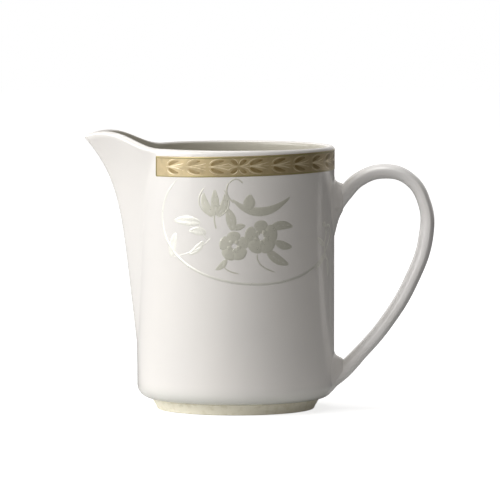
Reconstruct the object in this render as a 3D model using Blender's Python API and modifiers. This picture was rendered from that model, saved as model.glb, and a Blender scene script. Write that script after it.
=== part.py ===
"""Porcelain cream jug: a cast cylinder on a foot ring, with a luted beak lip and a luted loop handle.

Units are metres, +Z is up, and the jug stands on z = 0. The lip points along -X and the handle along +X.
Every piece hangs from the empty jug_axis, which stands on the cylinder's own axis, so that the world
origin is at the middle of the whole jug's footprint.
"""

import math

import bmesh
import bpy
from mathutils import Matrix, Vector

# The cast body.
BODY_RADIUS = 0.0353
RIM_HEIGHT = 0.0942
WALL = 0.0026
FLOOR_THICKNESS = 0.0035
OUTER_CORNER = 0.0047
INNER_CORNER = 0.0065
TURNED_STEPS = 72

# The foot ring that the body stands on.
FOOT_HEIGHT = 0.004
FOOT_INSET = 0.0052
FOOT_TAPER = 0.0024
FOOT_SOLE_WIDTH = 0.0024
FOOT_TOP_WIDTH = 0.0042
FOOT_EDGE = 0.0006

# The lip, a beak set in a notch of the wall. Angles are measured from the -X direction.
LIP_REACH = 0.0187
LIP_FLARE = 0.0106
LIP_START_HEIGHT = 0.024
LIP_START_SWELL = 0.0002
LIP_CREST = 0.0054
LIP_NOSE_WALL = 0.0028
LIP_NOSE_ROUND = 0.0030
LIP_INNER_ROUND = 0.0016
NOTCH_FOOT_ANGLE = math.radians(10)
NOTCH_SPREAD = math.radians(17)
NOTCH_FLARE = math.radians(10)
FLARE_POWER = 7
CREST_POWER = 6
LIP_ROWS = 16
LIP_ACROSS = (-1.0, -0.82, -0.64, -0.46, -0.3, -0.16, -0.06, 0.0, 0.06, 0.16, 0.3, 0.46, 0.64, 0.82, 1.0)

# The handle and the two pads that it is luted to.
HANDLE_REACH = 0.0361
HANDLE_THICKNESS = 0.0056
HANDLE_WIDTH = 0.0098
HANDLE_END_SWELL = 1.18
UPPER_PAD_DROP = 0.0184
LOWER_PAD_HEIGHT = 0.0138
PAD_DEPTH = 0.0028
PAD_ROOT_DEPTH = 0.0020
UPPER_PAD_ROOT = (0.0080, 0.0110)
UPPER_PAD_SAG = 0.0022
LOWER_PAD_ROOT = (0.0080, 0.0077)
LOWER_PAD_SAG = 0.0006
PAD_FACE = (0.0060, 0.0053)
SLIP_THICKNESS = 0.0004
SLIP_INSET = 0.0006

# The printed gilt band and the enamel transfers.
BAND_DROP = 0.0012
BAND_HEIGHT = 0.0073
ENAMEL_THICKNESS = 0.0003
THINNING = 0.4
OVAL_HALF_WIDTH = 0.0385
OVAL_HALF_HEIGHT = 0.022
OVAL_CENTRE_DROP = 0.0155
OVAL_LINE_END = 345
OVAL_LINE_RADIUS = 0.00028
CURL_RADIUS = 0.0030
CURL_STEP = 22
CURL_TIGHTENING = 0.04
PETAL_FULLNESS = 0.82
PETAL_OVERLAP = 0.56
FRONT_CENTRE_ANGLE = math.radians(-78)
BACK_CENTRE_ANGLE = math.radians(84)
WRAP_STRIP = 0.003
# The transfers are drawn for a wall of this radius. On any other wall they stretch with it.
SHEET_RADIUS = 0.0353

# The clearance between faces that touch on the fired jug.
FIT_GAP = 0.0003

# Corners closer than this are welded into one.
WELD_DISTANCE = 0.000002

AXIS_X = (LIP_REACH - HANDLE_REACH) / 2
INNER_RADIUS = BODY_RADIUS - WALL
FOOT_TOP_RADIUS = BODY_RADIUS - FOOT_INSET
FOOT_SOLE_RADIUS = FOOT_TOP_RADIUS - FOOT_TAPER
BAND_TOP = RIM_HEIGHT - BAND_DROP
BAND_BOTTOM = BAND_TOP - BAND_HEIGHT
PAD_FACE_X = BODY_RADIUS + PAD_DEPTH
SLIP_X = PAD_FACE_X + FIT_GAP
HANDLE_START_X = SLIP_X + SLIP_THICKNESS + FIT_GAP
UPPER_PAD_Z = RIM_HEIGHT - UPPER_PAD_DROP


def clear_scene():
    for leftover in list(bpy.data.objects):
        bpy.data.objects.remove(leftover, do_unlink=True)


def make_collection(name):
    collection = bpy.data.collections.new(name)
    bpy.context.scene.collection.children.link(collection)
    return collection


def make_material(name, colour, roughness, metallic=0.0, coat=0.0):
    material = bpy.data.materials.new(name)
    material.use_nodes = True
    shader = material.node_tree.nodes["Principled BSDF"]
    shader.inputs["Base Color"].default_value = (*colour, 1.0)
    shader.inputs["Roughness"].default_value = roughness
    shader.inputs["Metallic"].default_value = metallic
    shader.inputs["Coat Weight"].default_value = coat
    material.diffuse_color = (*colour, 1.0)
    return material


def place(obj, collection, axis, material=None):
    """Links an object, hangs it from the jug's axis and gives it its finish."""
    collection.objects.link(obj)
    obj.parent = axis
    if material is not None:
        obj.data.materials.append(material)
    return obj


def place_cutter(obj, cutters, axis):
    place(obj, cutters, axis)
    obj.hide_render = True
    obj.display_type = "WIRE"
    return obj


def combine(obj, other, operation):
    modifier = obj.modifiers.new(f"{operation.lower()}_{other.name}", "BOOLEAN")
    modifier.object = other
    modifier.operation = operation


def smooth(obj):
    obj.data.shade_smooth()
    obj.data.set_sharp_from_angle(angle=math.radians(40))


def arc(centre, radius, start, end, count):
    """Points on a round stretch, from one angle to another, both in degrees."""
    points = []
    for step in range(count + 1):
        angle = math.radians(start + (end - start) * step / count)
        points.append((centre[0] + radius * math.cos(angle), centre[1] + radius * math.sin(angle)))
    return points


def turned(name, profile, closed):
    """A profile in the XZ plane, turned about Z. Its outer side runs from top to bottom."""
    edges = [(index, index + 1) for index in range(len(profile) - 1)]
    if closed:
        edges.append((len(profile) - 1, 0))
    mesh = bpy.data.meshes.new(name)
    mesh.from_pydata([(x, 0.0, z) for x, z in profile], edges, [])
    obj = bpy.data.objects.new(name, mesh)
    screw = obj.modifiers.new("turn", "SCREW")
    screw.steps = TURNED_STEPS
    screw.render_steps = TURNED_STEPS
    screw.use_merge_vertices = True
    screw.merge_threshold = 0.00001
    screw.use_smooth_shade = True
    return obj


def evaluated_mesh(obj, name):
    """The object's finished mesh, with its loose caps welded, and the object itself removed."""
    bpy.context.view_layer.update()
    finished = obj.evaluated_get(bpy.context.evaluated_depsgraph_get())
    mesh = bpy.data.meshes.new_from_object(finished)
    mesh.name = name
    shape = bmesh.new()
    shape.from_mesh(mesh)
    bmesh.ops.remove_doubles(shape, verts=shape.verts, dist=WELD_DISTANCE)
    bmesh.ops.recalc_face_normals(shape, faces=shape.faces)
    shape.to_mesh(mesh)
    shape.free()
    bpy.data.objects.remove(obj, do_unlink=True)
    return mesh


def lip_section(along):
    """Nose distance and notch angle at a share of the lip's height, 0 at its foot and 1 at the rim."""
    flare = along**FLARE_POWER
    straight = LIP_REACH - LIP_FLARE - LIP_START_SWELL
    nose = BODY_RADIUS + LIP_START_SWELL + straight * along + LIP_FLARE * flare
    angle = NOTCH_FOOT_ANGLE + NOTCH_SPREAD * along + NOTCH_FLARE * flare
    return nose, angle


def lip_height(along):
    top = RIM_HEIGHT - WALL / 2
    return LIP_START_HEIGHT + (top - LIP_START_HEIGHT) * along


def beak_point(across, radius, angle, nose, rounding):
    """A point on a beak-shaped plan line that starts on a circle at +-angle and has a rounded nose."""
    root_x = radius * math.cos(angle)
    root_y = radius * math.sin(angle)
    y = across * root_y
    reach = math.hypot(y, rounding) - rounding
    full_reach = math.hypot(root_y, rounding) - rounding
    return nose - (nose - root_x) * reach / full_reach, y, 1 - reach / full_reach


def lip_row(along, round_angle):
    """The outer and inner points of one row. round_angle carries the row over the rounded edge."""
    nose, angle = lip_section(along)
    outer_row = []
    inner_row = []
    for across in LIP_ACROSS:
        outer_x, outer_y, share = beak_point(across, BODY_RADIUS, angle, nose, LIP_NOSE_ROUND)
        inner_nose = nose - LIP_NOSE_WALL
        inner_x, inner_y, _ = beak_point(across, INNER_RADIUS, angle, inner_nose, LIP_INNER_ROUND)
        middle = Vector(((outer_x + inner_x) / 2, (outer_y + inner_y) / 2))
        half = (Vector((outer_x, outer_y)) - middle) * math.cos(round_angle)
        rise = LIP_CREST * math.sin(math.pi * share / 1.5) ** 2 * along**CREST_POWER
        z = lip_height(along) + rise + WALL / 2 * math.sin(round_angle)
        outer_row.append((-(middle + half).x, (middle + half).y, z))
        inner_row.append((-(middle - half).x, (middle - half).y, z))
    return outer_row, inner_row


def make_pouring_lip():
    """A beak-shaped shell, lofted from its narrow foot up to its flared and rounded edge."""
    rows = [lip_row(row / LIP_ROWS, 0.0) for row in range(LIP_ROWS + 1)]
    rows += [lip_row(1.0, math.radians(angle)) for angle in (30, 60, 90)]
    shape = bmesh.new()
    outer = [[shape.verts.new(point) for point in row[0]] for row in rows]
    inner = [[shape.verts.new(point) for point in row[1]] for row in rows]
    last = len(LIP_ACROSS) - 1
    for low, high in zip(range(len(rows) - 1), range(1, len(rows))):
        for side in (outer, inner):
            for left in range(last):
                shape.faces.new((side[low][left], side[low][left + 1], side[high][left + 1], side[high][left]))
        for end in (0, last):
            shape.faces.new((outer[low][end], inner[low][end], inner[high][end], outer[high][end]))
    for left in range(last):
        shape.faces.new((outer[0][left], outer[0][left + 1], inner[0][left + 1], inner[0][left]))
    bmesh.ops.remove_doubles(shape, verts=shape.verts, dist=WELD_DISTANCE)
    bmesh.ops.recalc_face_normals(shape, faces=shape.faces)
    mesh = bpy.data.meshes.new("pouring_lip")
    shape.to_mesh(mesh)
    shape.free()
    return bpy.data.objects.new("pouring_lip", mesh)


def make_notch():
    """The wedge cut out of the wall for the lip: it follows the lip's two sides with a clearance."""
    clearance = FIT_GAP / INNER_RADIUS
    inside = INNER_RADIUS - WALL / 2
    outside = BODY_RADIUS + WALL / 2
    levels = [row / LIP_ROWS for row in range(LIP_ROWS + 1)]
    sections = [(lip_height(along), lip_section(along)[1] + clearance) for along in levels]
    sections[0] = (sections[0][0] - FIT_GAP, sections[0][1])
    sections.append((RIM_HEIGHT + WALL, sections[-1][1]))
    shape = bmesh.new()
    rings = []
    for z, angle in sections:
        across = math.cos(angle)
        aside = math.sin(angle)
        corners = [
            (inside * across, inside * aside),
            (outside * across, outside * aside),
            (BODY_RADIUS * 2, 0.0),
            (outside * across, -outside * aside),
            (inside * across, -inside * aside),
        ]
        rings.append([shape.verts.new((-x, y, z)) for x, y in corners])
    for low, high in zip(rings[:-1], rings[1:]):
        for corner in range(len(low)):
            after = (corner + 1) % len(low)
            shape.faces.new((low[corner], low[after], high[after], high[corner]))
    shape.faces.new(rings[0])
    shape.faces.new(rings[-1])
    bmesh.ops.recalc_face_normals(shape, faces=shape.faces)
    mesh = bpy.data.meshes.new("lip_notch")
    shape.to_mesh(mesh)
    shape.free()
    return bpy.data.objects.new("lip_notch", mesh)


def make_pad(name, height, root, sag):
    """A flared oval boss, from inside the wall out to the face that the handle is luted to.

    Its root hangs lower than its face by the sag.
    """
    depth = PAD_DEPTH + PAD_ROOT_DEPTH
    shape = bmesh.new()
    bmesh.ops.create_cone(shape, cap_ends=True, segments=32, radius1=1.0, radius2=1.0, depth=depth)
    for vert in shape.verts:
        at_face = vert.co.z > 0
        half_width, half_height = PAD_FACE if at_face else root
        drop = 0.0 if at_face else sag
        vert.co = Vector((vert.co.z, vert.co.x * half_width, vert.co.y * half_height - drop))
    bmesh.ops.translate(shape, verts=shape.verts, vec=(PAD_FACE_X - depth / 2, 0.0, height))
    bmesh.ops.recalc_face_normals(shape, faces=shape.faces)
    mesh = bpy.data.meshes.new(name)
    shape.to_mesh(mesh)
    shape.free()
    return bpy.data.objects.new(name, mesh)


def make_body():
    """Floor, wall and rounded rim in one profile, from the inside centre over the rim to the sole."""
    underside = FOOT_HEIGHT
    floor = underside + FLOOR_THICKNESS
    profile = [(0.0, floor)]
    profile += arc((INNER_RADIUS - INNER_CORNER, floor + INNER_CORNER), INNER_CORNER, -90, 0, 5)
    profile += arc((BODY_RADIUS - WALL / 2, RIM_HEIGHT - WALL / 2), WALL / 2, 180, 0, 6)
    profile += arc((BODY_RADIUS - OUTER_CORNER, underside + OUTER_CORNER), OUTER_CORNER, 0, -90, 5)
    profile.append((0.0, underside))
    return turned("body_casting", profile, closed=False)


def make_foot_ring():
    top = FOOT_HEIGHT - FIT_GAP
    inner_sole = FOOT_SOLE_RADIUS - FOOT_SOLE_WIDTH
    profile = [
        (FOOT_TOP_RADIUS, top),
        (FOOT_TOP_RADIUS, top - FOOT_EDGE),
        (FOOT_SOLE_RADIUS + FOOT_EDGE, FOOT_EDGE),
        (FOOT_SOLE_RADIUS, 0.0),
        (inner_sole, 0.0),
        (inner_sole - FOOT_EDGE / 2, FOOT_EDGE),
        (FOOT_TOP_RADIUS - FOOT_TOP_WIDTH, top),
    ]
    return turned("foot_ring", profile, closed=True)


def make_handle_blank():
    """The bent strip before its ends are trimmed: an oval section swept along the loop."""
    middle_reach = HANDLE_REACH - HANDLE_THICKNESS / 2
    span = UPPER_PAD_Z - LOWER_PAD_HEIGHT
    loop = [
        (0.02, -0.040, HANDLE_END_SWELL),
        (0.10, 0.010, HANDLE_END_SWELL),
        (0.27, 0.099, 1.04),
        (0.53, 0.147, 0.98),
        (0.80, 0.104, 0.96),
        (0.965, -0.040, 0.96),
        (0.99, -0.225, 0.95),
        (0.825, -0.490, 0.94),
        (0.550, -0.735, 0.94),
        (0.275, -0.912, 1.00),
        (0.10, -1.010, HANDLE_END_SWELL),
        (0.02, -1.050, HANDLE_END_SWELL),
    ]
    curve = bpy.data.curves.new("handle_blank", "CURVE")
    curve.dimensions = "3D"
    curve.bevel_depth = HANDLE_THICKNESS / 2
    curve.bevel_resolution = 4
    curve.resolution_u = 5
    curve.use_fill_caps = True
    spline = curve.splines.new("BEZIER")
    spline.bezier_points.add(len(loop) - 1)
    for point, (reach, drop, swell) in zip(spline.bezier_points, loop):
        point.co = (BODY_RADIUS + middle_reach * reach, 0.0, UPPER_PAD_Z + span * drop)
        point.handle_left_type = "AUTO"
        point.handle_right_type = "AUTO"
        point.radius = swell
    return bpy.data.objects.new("handle_blank", curve)


def make_handle():
    blank = make_handle_blank()
    bpy.context.scene.collection.objects.link(blank)
    mesh = evaluated_mesh(blank, "handle")
    mesh.transform(Matrix.Diagonal((1.0, HANDLE_WIDTH / HANDLE_THICKNESS, 1.0, 1.0)))
    return bpy.data.objects.new("handle", mesh)


def make_handle_trim():
    """A block that takes the strip's ends off square, one joint's thickness away from the pads."""
    shape = bmesh.new()
    bmesh.ops.create_cube(shape, size=1.0)
    size = Vector((BODY_RADIUS, BODY_RADIUS, RIM_HEIGHT * 2))
    bmesh.ops.scale(shape, verts=shape.verts, vec=size)
    bmesh.ops.translate(shape, verts=shape.verts, vec=(HANDLE_START_X - size.x / 2, 0.0, RIM_HEIGHT / 2))
    mesh = bpy.data.meshes.new("handle_trim")
    shape.to_mesh(mesh)
    shape.free()
    return bpy.data.objects.new("handle_trim", mesh)


def make_luting_slip(name, height):
    """The thin oval layer of slip between a pad and the handle's end."""
    half_width = PAD_FACE[0] - SLIP_INSET
    half_height = PAD_FACE[1] - SLIP_INSET
    shape = bmesh.new()
    bmesh.ops.create_cone(shape, cap_ends=True, segments=32, radius1=1.0, radius2=1.0, depth=SLIP_THICKNESS)
    turn = Matrix.Rotation(math.radians(90), 4, "Y")
    bmesh.ops.transform(shape, verts=shape.verts, matrix=turn)
    bmesh.ops.scale(shape, verts=shape.verts, vec=(1.0, half_width, half_height))
    bmesh.ops.translate(shape, verts=shape.verts, vec=(SLIP_X + SLIP_THICKNESS / 2, 0.0, height))
    mesh = bpy.data.meshes.new(name)
    shape.to_mesh(mesh)
    shape.free()
    return bpy.data.objects.new(name, mesh)


def make_gilt_band():
    inner = BODY_RADIUS + FIT_GAP
    outer = inner + ENAMEL_THICKNESS
    profile = [(outer, BAND_TOP), (outer, BAND_BOTTOM), (inner, BAND_BOTTOM), (inner, BAND_TOP)]
    return turned("gilt_band", profile, closed=True)


def on_wall(along, height, stand_off, centre_angle):
    """Carries a place on the flat transfer sheet round the wall. along is a distance round the wall."""
    angle = centre_angle + along / SHEET_RADIUS
    radius = BODY_RADIUS + FIT_GAP + stand_off
    return Vector((radius * math.cos(angle), radius * math.sin(angle), height))


def make_oval_line(name, centre_angle):
    """A raised line on an oval, from under the band round to the curl by the handle side."""
    centre = BAND_BOTTOM - OVAL_CENTRE_DROP
    highest = OVAL_CENTRE_DROP - FIT_GAP - OVAL_LINE_RADIUS
    start = math.pi - math.asin(highest / OVAL_HALF_HEIGHT)
    end = math.radians(OVAL_LINE_END)
    path = []
    for step in range(41):
        angle = start + (end - start) * step / 40
        path.append((OVAL_HALF_WIDTH * math.cos(angle), centre + OVAL_HALF_HEIGHT * math.sin(angle)))
    turn_centre = (path[-1][0] - CURL_RADIUS, path[-1][1])
    for step in range(1, 11):
        angle = math.radians(CURL_STEP * step)
        radius = CURL_RADIUS * (1 - CURL_TIGHTENING * step)
        path.append((turn_centre[0] + radius * math.cos(angle), turn_centre[1] + radius * math.sin(angle)))
    curve = bpy.data.curves.new(name, "CURVE")
    curve.dimensions = "3D"
    curve.bevel_depth = OVAL_LINE_RADIUS
    curve.bevel_resolution = 2
    curve.use_fill_caps = True
    spline = curve.splines.new("POLY")
    spline.points.add(len(path) - 1)
    for point, (along, height) in zip(spline.points, path):
        point.co = (*on_wall(along, height, OVAL_LINE_RADIUS, centre_angle), 1.0)
    return bpy.data.objects.new(name, curve)


def leaf_outline(base, tip, width):
    """A pointed leaf between two places, as two shallow arcs."""
    base = Vector(base)
    run = Vector(tip) - base
    side = Vector((-run.y, run.x)).normalized() * width / 2
    shares = [step / 6 for step in range(7)]
    one_edge = [base + run * share + side * math.sin(math.pi * share) for share in shares]
    other_edge = [base + run * share - side * math.sin(math.pi * share) for share in reversed(shares[1:-1])]
    return one_edge + other_edge


def petal_outline(centre, angle, length, width):
    """A rounded petal that starts behind the flower's centre and points outwards."""
    outward = Vector((math.cos(angle), math.sin(angle)))
    sideways = Vector((-outward.y, outward.x))
    middle = Vector(centre) + outward * length / 2
    turns = [math.radians(30 * step) for step in range(12)]
    along = outward * length * PETAL_OVERLAP
    return [middle + along * math.cos(turn) + sideways * width / 2 * math.sin(turn) for turn in turns]


def strip_outline(start, end, width):
    start = Vector(start)
    end = Vector(end)
    side = Vector((start.y - end.y, end.x - start.x)).normalized() * width / 2
    return [start + side, start - side, end - side, end + side]


def crescent_outline(centre, radius, thickness):
    outer = arc(centre, radius, 195, 345, 12)
    rise = thickness * 1.4
    inner = arc((centre[0], centre[1] + rise), radius * 1.01, 338, 202, 12)
    return [Vector(point) for point in outer + inner]


def flower_outlines(centre, radius, first_angle):
    outlines = []
    for petal in range(5):
        angle = math.radians(first_angle + 72 * petal)
        outlines.append(petal_outline(centre, angle, radius, radius * PETAL_FULLNESS))
    return outlines


def sheet_piece(outline, thickness):
    """One flat piece of the transfer, as a filled outline with a thickness."""
    curve = bpy.data.curves.new("transfer_piece", "CURVE")
    curve.dimensions = "2D"
    curve.fill_mode = "BOTH"
    curve.extrude = thickness / 2
    spline = curve.splines.new("POLY")
    spline.points.add(len(outline) - 1)
    for point, place_on_sheet in zip(spline.points, outline):
        point.co = (place_on_sheet.x, place_on_sheet.y, 0.0, 1.0)
    spline.use_cyclic_u = True
    obj = bpy.data.objects.new("transfer_piece", curve)
    bpy.context.scene.collection.objects.link(obj)
    return evaluated_mesh(obj, "transfer_piece")


def make_transfer(name, outlines, centre_angle):
    """Unites flat outlines into one sheet and wraps it round the wall.

    Each outline is a little thinner than the one before, so that no two faces lie in one plane.
    """
    pieces = []
    for index, outline in enumerate(outlines):
        mesh = sheet_piece(outline, ENAMEL_THICKNESS * (1 - THINNING * index / len(outlines)))
        piece = bpy.data.objects.new(f"{name}_piece_{index}", mesh)
        bpy.context.scene.collection.objects.link(piece)
        pieces.append(piece)
    for other in pieces[1:]:
        combine(pieces[0], other, "UNION")
    mesh = evaluated_mesh(pieces[0], name)
    for other in pieces[1:]:
        bpy.data.objects.remove(other, do_unlink=True)

    shape = bmesh.new()
    shape.from_mesh(mesh)
    lowest = min(vert.co.x for vert in shape.verts)
    highest = max(vert.co.x for vert in shape.verts)
    cut = lowest + WRAP_STRIP
    while cut < highest - WRAP_STRIP / 3:
        geometry = shape.verts[:] + shape.edges[:] + shape.faces[:]
        bmesh.ops.bisect_plane(shape, geom=geometry, plane_co=(cut, 0, 0), plane_no=(1, 0, 0), dist=0.00001)
        cut += WRAP_STRIP
    for vert in shape.verts:
        vert.co = on_wall(vert.co.x, vert.co.y, vert.co.z + ENAMEL_THICKNESS / 2, centre_angle)
    shape.to_mesh(mesh)
    shape.free()
    return bpy.data.objects.new(name, mesh)


def sheet_place(along, below_centre):
    """A place on the transfer sheet, from the oval's centre, in the jug's own heights."""
    return (along, BAND_BOTTOM - OVAL_CENTRE_DROP + below_centre)


def scroll_outlines():
    """A shallow crescent scroll with one leaf standing in it."""
    centre = sheet_place(0.0020, 0.0135)
    tooth = leaf_outline(sheet_place(-0.0028, 0.0022), sheet_place(-0.0016, 0.0090), 0.0036)
    return [crescent_outline(centre, 0.0125, 0.0026), tooth]


def flower_spray_outlines():
    """Two five-petal flowers side by side, with a leaf to each side."""
    first = sheet_place(0.0025, -0.0062)
    second = sheet_place(-0.0062, -0.0090)
    outlines = flower_outlines(first, 0.0060, 90) + flower_outlines(second, 0.0050, 18)
    outlines.append(leaf_outline(sheet_place(0.0045, -0.0035), sheet_place(0.0150, -0.0030), 0.0034))
    outlines.append(leaf_outline(sheet_place(0.0030, -0.0090), sheet_place(0.0125, -0.0160), 0.0036))
    return outlines


def leaf_sprig_outlines():
    """Four leaves on a forked stem, on the lip side of the oval."""
    fork = sheet_place(-0.0175, -0.0045)
    outlines = [strip_outline(sheet_place(-0.0150, -0.0062), sheet_place(-0.0285, -0.0125), 0.0008)]
    outlines.append(strip_outline(sheet_place(-0.0165, -0.0072), sheet_place(-0.0205, 0.0002), 0.0008))
    outlines.append(leaf_outline(sheet_place(-0.0195, -0.0008), sheet_place(-0.0312, -0.0005), 0.0040))
    outlines.append(leaf_outline(fork, sheet_place(-0.0255, -0.0040), 0.0036))
    outlines.append(leaf_outline(sheet_place(-0.0280, -0.0130), sheet_place(-0.0300, -0.0045), 0.0038))
    outlines.append(leaf_outline(sheet_place(-0.0190, -0.0078), sheet_place(-0.0262, -0.0142), 0.0034))
    return outlines


def bud_outlines():
    """A bud of three upright petals on a short stalk, between the sprig and the scroll."""
    foot = sheet_place(-0.0145, 0.0010)
    outlines = [strip_outline(sheet_place(-0.0142, -0.0035), sheet_place(-0.0146, 0.0030), 0.0010)]
    for tip in ((-0.0188, 0.0098), (-0.0148, 0.0108), (-0.0112, 0.0095)):
        outlines.append(leaf_outline(foot, sheet_place(*tip), 0.0037))
    return outlines


def frond_outlines():
    """Two long leaves that spread from one stalk, by the curl on the handle side."""
    foot = sheet_place(0.0305, -0.0105)
    outlines = [strip_outline(sheet_place(0.0322, -0.0105), sheet_place(0.0290, -0.0105), 0.0012)]
    for tip in ((0.0215, -0.0060), (0.0215, -0.0150)):
        outlines.append(leaf_outline(foot, sheet_place(*tip), 0.0033))
    return outlines


def main():
    clear_scene()
    parts = make_collection("cream_jug")
    cutters = make_collection("cutters")
    axis = bpy.data.objects.new("jug_axis", None)
    axis.location = (AXIS_X, 0.0, 0.0)
    parts.objects.link(axis)

    glaze = make_material("glazed_porcelain", (0.86, 0.84, 0.80), 0.12, coat=0.6)
    slip = make_material("fired_slip", (0.80, 0.78, 0.74), 0.30)
    unglazed = make_material("unglazed_foot", (0.62, 0.59, 0.46), 0.55)
    gilt = make_material("gilt_print", (0.60, 0.46, 0.24), 0.38, metallic=0.7)
    enamel = make_material("satin_enamel", (0.84, 0.82, 0.74), 0.45)

    body = place(make_body(), parts, axis, glaze)
    notch = place_cutter(make_notch(), cutters, axis)
    upper_pad = make_pad("upper_pad", UPPER_PAD_Z, UPPER_PAD_ROOT, UPPER_PAD_SAG)
    lower_pad = make_pad("lower_pad", LOWER_PAD_HEIGHT, LOWER_PAD_ROOT, LOWER_PAD_SAG)
    place_cutter(upper_pad, cutters, axis)
    place_cutter(lower_pad, cutters, axis)
    combine(body, notch, "DIFFERENCE")
    combine(body, upper_pad, "UNION")
    combine(body, lower_pad, "UNION")

    smooth(place(make_pouring_lip(), parts, axis, glaze))
    place(make_foot_ring(), parts, axis, unglazed)

    handle = place(make_handle(), parts, axis, glaze)
    smooth(handle)
    combine(handle, place_cutter(make_handle_trim(), cutters, axis), "DIFFERENCE")
    place(make_luting_slip("upper_luting_slip", UPPER_PAD_Z), parts, axis, slip)
    place(make_luting_slip("lower_luting_slip", LOWER_PAD_HEIGHT), parts, axis, slip)

    band = place(make_gilt_band(), parts, axis, gilt)
    combine(band, notch, "DIFFERENCE")

    motifs = {
        "scroll": scroll_outlines,
        "flower_spray": flower_spray_outlines,
        "leaf_sprig": leaf_sprig_outlines,
        "bud": bud_outlines,
        "fronds": frond_outlines,
    }
    for side, centre_angle in (("front", FRONT_CENTRE_ANGLE), ("back", BACK_CENTRE_ANGLE)):
        place(make_oval_line(f"{side}_oval_line", centre_angle), parts, axis, enamel)
        for motif, outlines in motifs.items():
            place(make_transfer(f"{side}_{motif}", outlines(), centre_angle), parts, axis, enamel)


main()
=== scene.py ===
import math

import bpy
from mathutils import Matrix, Vector


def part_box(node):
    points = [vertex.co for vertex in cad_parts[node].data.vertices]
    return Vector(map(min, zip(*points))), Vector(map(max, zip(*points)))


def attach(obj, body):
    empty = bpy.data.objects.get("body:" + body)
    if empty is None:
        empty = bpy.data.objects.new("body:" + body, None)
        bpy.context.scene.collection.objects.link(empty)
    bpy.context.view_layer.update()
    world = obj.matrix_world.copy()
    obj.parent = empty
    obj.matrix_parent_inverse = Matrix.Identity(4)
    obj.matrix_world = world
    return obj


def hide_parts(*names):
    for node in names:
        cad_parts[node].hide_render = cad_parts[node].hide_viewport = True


bl_info = {
    "name": "Porcelain Cream Jug",
    "version": (1, 0, 0),
    "blender": (4, 5, 0),
    "location": "3D View > Sidebar > Cream Jug",
    "description": "Builds a porcelain cream jug with a gilt laurel band and raised enamels",
    "category": "Add Mesh",
}

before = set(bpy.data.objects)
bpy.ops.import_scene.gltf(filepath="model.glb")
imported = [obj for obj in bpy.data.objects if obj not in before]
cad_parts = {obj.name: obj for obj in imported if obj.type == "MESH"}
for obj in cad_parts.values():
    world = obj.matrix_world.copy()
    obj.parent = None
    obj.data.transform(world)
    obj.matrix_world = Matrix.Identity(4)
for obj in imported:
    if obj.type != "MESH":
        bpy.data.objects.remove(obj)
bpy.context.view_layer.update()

MM = 0.001
# Points closer together than this are made one.
MERGE_DISTANCE = 0.01 * MM

BODY_LOW, BODY_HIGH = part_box("body_casting")
FOOT_LOW, FOOT_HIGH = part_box("foot_ring")
LIP_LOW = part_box("pouring_lip")[0]
HANDLE_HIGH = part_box("handle")[1]
BAND_LOW, BAND_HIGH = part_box("gilt_band")
UPPER_SLIP_LOW, UPPER_SLIP_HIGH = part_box("upper_luting_slip")
LOWER_SLIP_LOW, LOWER_SLIP_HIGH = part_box("lower_luting_slip")

# The jug's own upright axis, which the body, the foot and the band are turned about.
AXIS_X = (FOOT_LOW.x + FOOT_HIGH.x) / 2
BODY_RADIUS = (BODY_HIGH.y - BODY_LOW.y) / 2

# The wall's thickness and its rounded corners, which the frame's boxes can't show.
WALL = 2.6 * MM
FLOOR_THICKNESS = 3.5 * MM
OUTER_CORNER = 4.7 * MM
INNER_CORNER = 6.5 * MM
# The underside, from the axis outwards: share of the radius, and height over the body's lowest level.
UNDERSIDE = ((0.0, 0.5 * MM), (0.66, 0.4 * MM), (0.72, 0.0))
# How deep under the outer face the beak and the bosses take the wall's points with them, in walls.
BEAK_DEPTH = 1.2
BOSS_DEPTH = 0.4
# Steps that the body is turned in, and rows of faces up its outer and its inner wall.
BODY_STEPS = 320
OUTER_ROWS = 96
INNER_ROWS = 46

# The foot ring narrows by its taper to the flat sole that it stands on, which has rounded edges.
FOOT_TAPER = 2.4 * MM
SOLE_WIDTH = 2.4 * MM
SOLE_OUTER_ROUND = 0.6 * MM
SOLE_INNER_ROUND = 0.5 * MM
FOOT_STEPS = 192

# The beak. Its shares run from 0 at the lip's lowest point to 1 at the rim.
LIP_START = LIP_LOW.z
LIP_FLARE = 10.6 * MM
LIP_FLARE_POWER = 7
LIP_SWELL = 0.2 * MM
LIP_CREST = 5.4 * MM
LIP_CREST_POWER = 6
# The crest is highest at half of this share of the way out from the wall to the nose.
LIP_CREST_SPAN = 1.5
LIP_NOSE_WALL = 2.8 * MM
LIP_NOSE_ROUND = 3.0 * MM
LIP_INNER_ROUND = 1.6 * MM
LIP_FOOT_ANGLE = math.radians(10)
LIP_SPREAD = math.radians(17)
LIP_EDGE_SPREAD = math.radians(10)
# Under its lowest point the beak fades into the wall over this height.
LIP_FADE = 10 * MM
# Half the width of the strip that is smoothed where the beak leaves the cylinder.
CREASE_WIDTH = math.radians(4.5)

# The flat faces of the two bosses on the wall. Each has the height of its middle, then how far its face and
# its flare reach sideways, up and down from there, and how hollow the flare is above and below.
PAD_FACE_X = UPPER_SLIP_LOW.x - 0.3 * MM
UPPER_PAD_Z = (UPPER_SLIP_LOW.z + UPPER_SLIP_HIGH.z) / 2
LOWER_PAD_Z = (LOWER_SLIP_LOW.z + LOWER_SLIP_HIGH.z) / 2
UPPER_PAD = (UPPER_PAD_Z, (5.1 * MM, 4.9 * MM, 5.5 * MM), (10.0 * MM, 9.0 * MM, 14.0 * MM), (3.4, 0.75))
LOWER_PAD = (LOWER_PAD_Z, (5.1 * MM, 4.2 * MM, 4.4 * MM), (10.0 * MM, 7.0 * MM, 8.6 * MM), (1.8, 1.3))

# Name of the attribute that tells the inside of the jug from the outside, where the glaze gets painted shade,
# and how far under the rim it ends.
INNER_WALL_MARK = "inner_wall"
INNER_WALL_END = 0.6 * MM

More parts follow.
